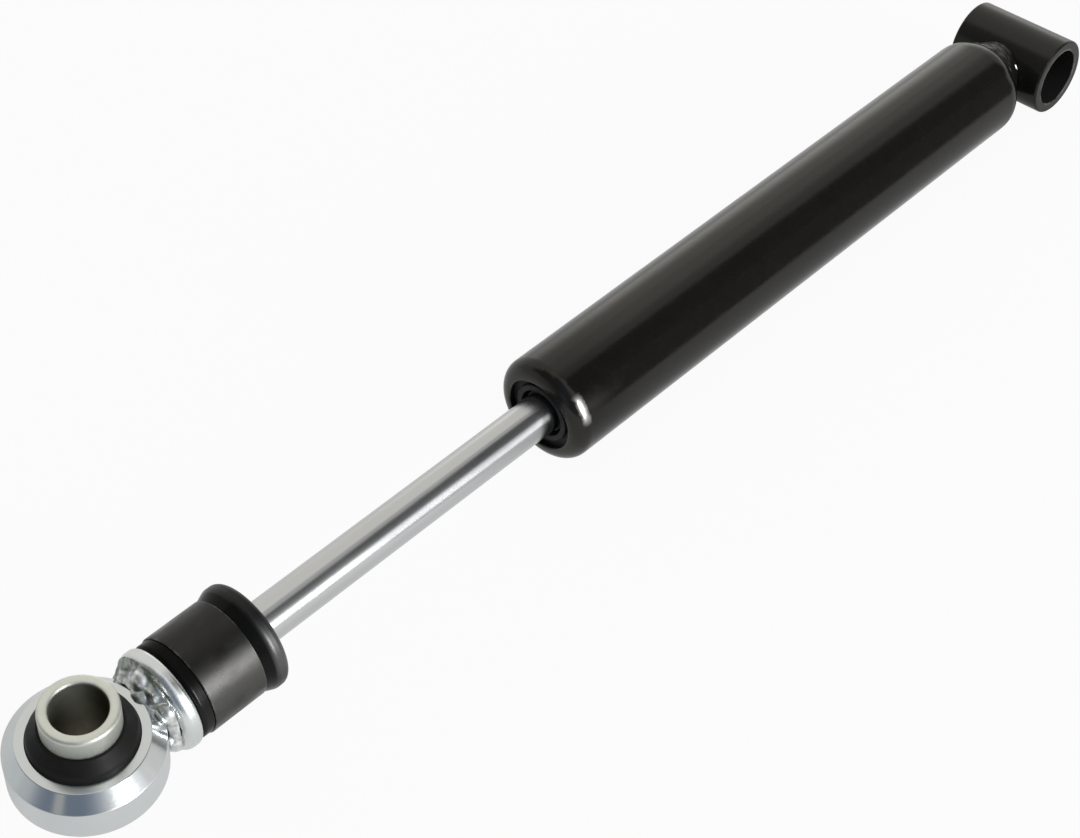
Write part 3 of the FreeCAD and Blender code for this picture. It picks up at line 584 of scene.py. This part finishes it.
def lay_floor():
    """Pale floor that the damper lies on with its rod eye's sleeve and the rear of its tube. Mirror-like
    surfaces see more white on it, less beside the tube and behind the rod eye as painted shadow, and more
    toward the window as painted light.
    """
    low = cad_box[0].z
    rear_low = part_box("cylinder_tube")[0].z
    slope = (low - rear_low) / ((EYE.x - TUBE_REAR) / MM)
    floor = sheet("floor", [(x, y, low + slope * (x - EYE.x / MM)) for x, y in
                            ((-FLOOR_SIZE, -FLOOR_SIZE), (FLOOR_SIZE, -FLOOR_SIZE),
                             (FLOOR_SIZE, FLOOR_SIZE), (-FLOOR_SIZE, FLOOR_SIZE))])
    g = finish("floor")
    here = g.position()
    tone = g.noise(here, 120.0)
    g.set(Base_Color=g.blend(tone, rgb(0.64, 0.645, 0.65), rgb(0.68, 0.685, 0.69)), Roughness=0.9)
    x, y = g.along(here, 0), g.along(here, 1)
    beside, elsewhere, at_window = FLOOR_MIRRORED
    # painted shadow and painted light on the floor as reflections see it: less white beside the tube and
    # behind the eye, more toward the window
    corner = g.math("MULTIPLY", g.span(x, *REAR_CORNER_X), g.span(y, *REAR_CORNER_Y))
    front = g.math("MAXIMUM", g.span(y, *FRONT_Y), corner)
    shadow_beside_tube = g.math("MULTIPLY", g.span(x, *BESIDE_TUBE_X), front)
    shadow_behind_eye = g.math("MULTIPLY", g.span(x, *BEHIND_EYE_X),
                        g.span(y, *BEHIND_EYE_Y, 0.0, BEHIND_EYE_SHARE))
    mirrored_light_and_shadow = g.between(g.math("MAXIMUM", shadow_beside_tube, shadow_behind_eye),
                     g.span(y, *WINDOW_Y, elsewhere, at_window), beside)
    rays = g.node("LightPath").outputs
    mirrored = g.math("MAXIMUM", rays["Is Glossy Ray"], rays["Is Transmission Ray"])
    share = g.math("MAXIMUM", g.math("MULTIPLY", rays["Is Camera Ray"], FLOOR_WHITE),
                   g.math("MULTIPLY", mirrored, mirrored_light_and_shadow))
    white = g.node("Emission", ("Color", rgb(1.0, 1.0, 1.0)), ("Strength", 1.0))
    seen = g.node("MixShader", (0, share), (1, g.shader.outputs[0]), (2, white.outputs[0]))
    g.show(seen, "Material Output")
    floor.data.materials.append(g.owner)


def stand_flag():
    """Dark strip with soft edges beside the tube, seen only in mirror-like surfaces."""
    left, right = FLAG_X
    bottom, top = FLAG_Z
    flag = sheet("flag", [(x / MM, FLAG_Y / MM, z / MM) for x, z in
                          ((left, bottom), (right, bottom), (right, top), (left, top))])
    flag.visible_camera = False
    flag.visible_diffuse = False
    flag.visible_transmission = False
    flag.visible_shadow = False
    g = finish("flag")
    here = g.position()
    weave = g.noise(here, 4.0)
    g.set(Base_Color=g.blend(weave, rgb(0.20, 0.20, 0.19), rgb(0.26, 0.26, 0.25)), Roughness=0.9,
          Specular_IOR_Level=0.0)
    solid = g.span(g.along(here, 2), bottom, bottom + FLAG_SOFT)
    for edge, full in ((left, left + FLAG_SOFT), (right, right - FLAG_SOFT)):
        solid = g.math("MULTIPLY", solid, g.span(g.along(here, 0), edge, full))
    clear = g.node("BsdfTransparent")
    seen = g.node("MixShader", (0, solid), (1, clear.outputs[0]), (2, g.shader.outputs[0]))
    g.show(seen, "Material Output")
    flag.data.materials.append(g.owner)


def build_world():
    """White all round; the part, but not the camera, also sees the studio's cards and its window side."""
    world = bpy.data.worlds.new("studio")
    bpy.context.scene.world = world
    g = Graph(world)
    ray = g.node("TexCoord").outputs["Generated"]
    height = g.math("MULTIPLY", g.math("ARCSINE", g.along(ray, 2)), 180 / math.pi)
    level = g.vector("NORMALIZE", g.stretch(ray, AROUND_Z)).outputs[0]
    unseen = g.math("SUBTRACT", 1.0, g.node("LightPath").outputs["Is Camera Ray"])

    def card(azimuth, half_width, low, high, soft_turn, soft_lift):
        """1 inside a span of azimuth and height in degrees, with soft edges."""
        middle = (math.cos(math.radians(azimuth)), math.sin(math.radians(azimuth)), 0.0)
        facing = g.vector("DOT_PRODUCT", level, middle).outputs["Value"]
        inside = g.span(facing, math.cos(math.radians(half_width + soft_turn)),
                        math.cos(math.radians(max(half_width - soft_turn, 0.0))))
        for edge, way in ((low, 1), (high, -1)):
            soft_edge = g.span(height, edge - way * soft_lift, edge + way * soft_lift)
            inside = g.math("MULTIPLY", inside, soft_edge)
        return g.math("MULTIPLY", inside, unseen)

    colour = rgb(1.0, 1.0, 1.0)
    for place, shade in CARDS:
        colour = g.blend(card(*place), colour, rgb(*shade))
    g.show(g.node("Background", ("Color", colour), ("Strength", 1.0)), "World Output")


def hang_softbox(name, azimuth, height, distance, width, tall, power):
    """Rectangular lamp that faces the middle of the damper, unseen by the camera."""
    lamp = bpy.data.lights.new(name, "AREA")
    lamp.shape = "RECTANGLE"
    lamp.size = width
    lamp.size_y = tall
    lamp.energy = power
    holder = bpy.data.objects.new(name, lamp)
    bpy.context.scene.collection.objects.link(holder)
    middle = (cad_box[0] + cad_box[1]) / 2
    turn, lift = math.radians(azimuth), math.radians(height)
    out = Vector((math.cos(lift) * math.cos(turn), math.cos(lift) * math.sin(turn), math.sin(lift)))
    holder.location = middle + out * distance
    holder.rotation_mode = "QUATERNION"
    holder.rotation_quaternion = (-out).to_track_quat("-Z", "Y")
    holder.visible_camera = False


def place_camera():
    """Camera at the place from which the photograph was taken."""
    camera = bpy.data.cameras.new("camera")
    camera.sensor_width = SENSOR_WIDTH
    camera.lens = SENSOR_WIDTH * FOCAL_PIXELS / IMAGE_WIDTH
    holder = bpy.data.objects.new("camera", camera)
    bpy.context.scene.collection.objects.link(holder)
    ahead = (CAMERA_LOOKS_AT - CAMERA_AT).normalized()
    level_right = ahead.cross(Vector((0, 0, 1))).normalized()
    level_up = level_right.cross(ahead)
    right = math.cos(CAMERA_ROLL) * level_right + math.sin(CAMERA_ROLL) * level_up
    up = math.cos(CAMERA_ROLL) * level_up - math.sin(CAMERA_ROLL) * level_right
    turn = Matrix((right, up, -ahead)).transposed()
    holder.matrix_world = Matrix.Translation(CAMERA_AT) @ turn.to_4x4()
    bpy.context.scene.camera = holder


lay_floor()
stand_flag()
build_world()
hang_softbox("window", azimuth=95, height=15, distance=4.0, width=0.84, tall=2.10, power=115.0)
place_camera()
bpy.context.scene.view_settings.view_transform = "Standard"
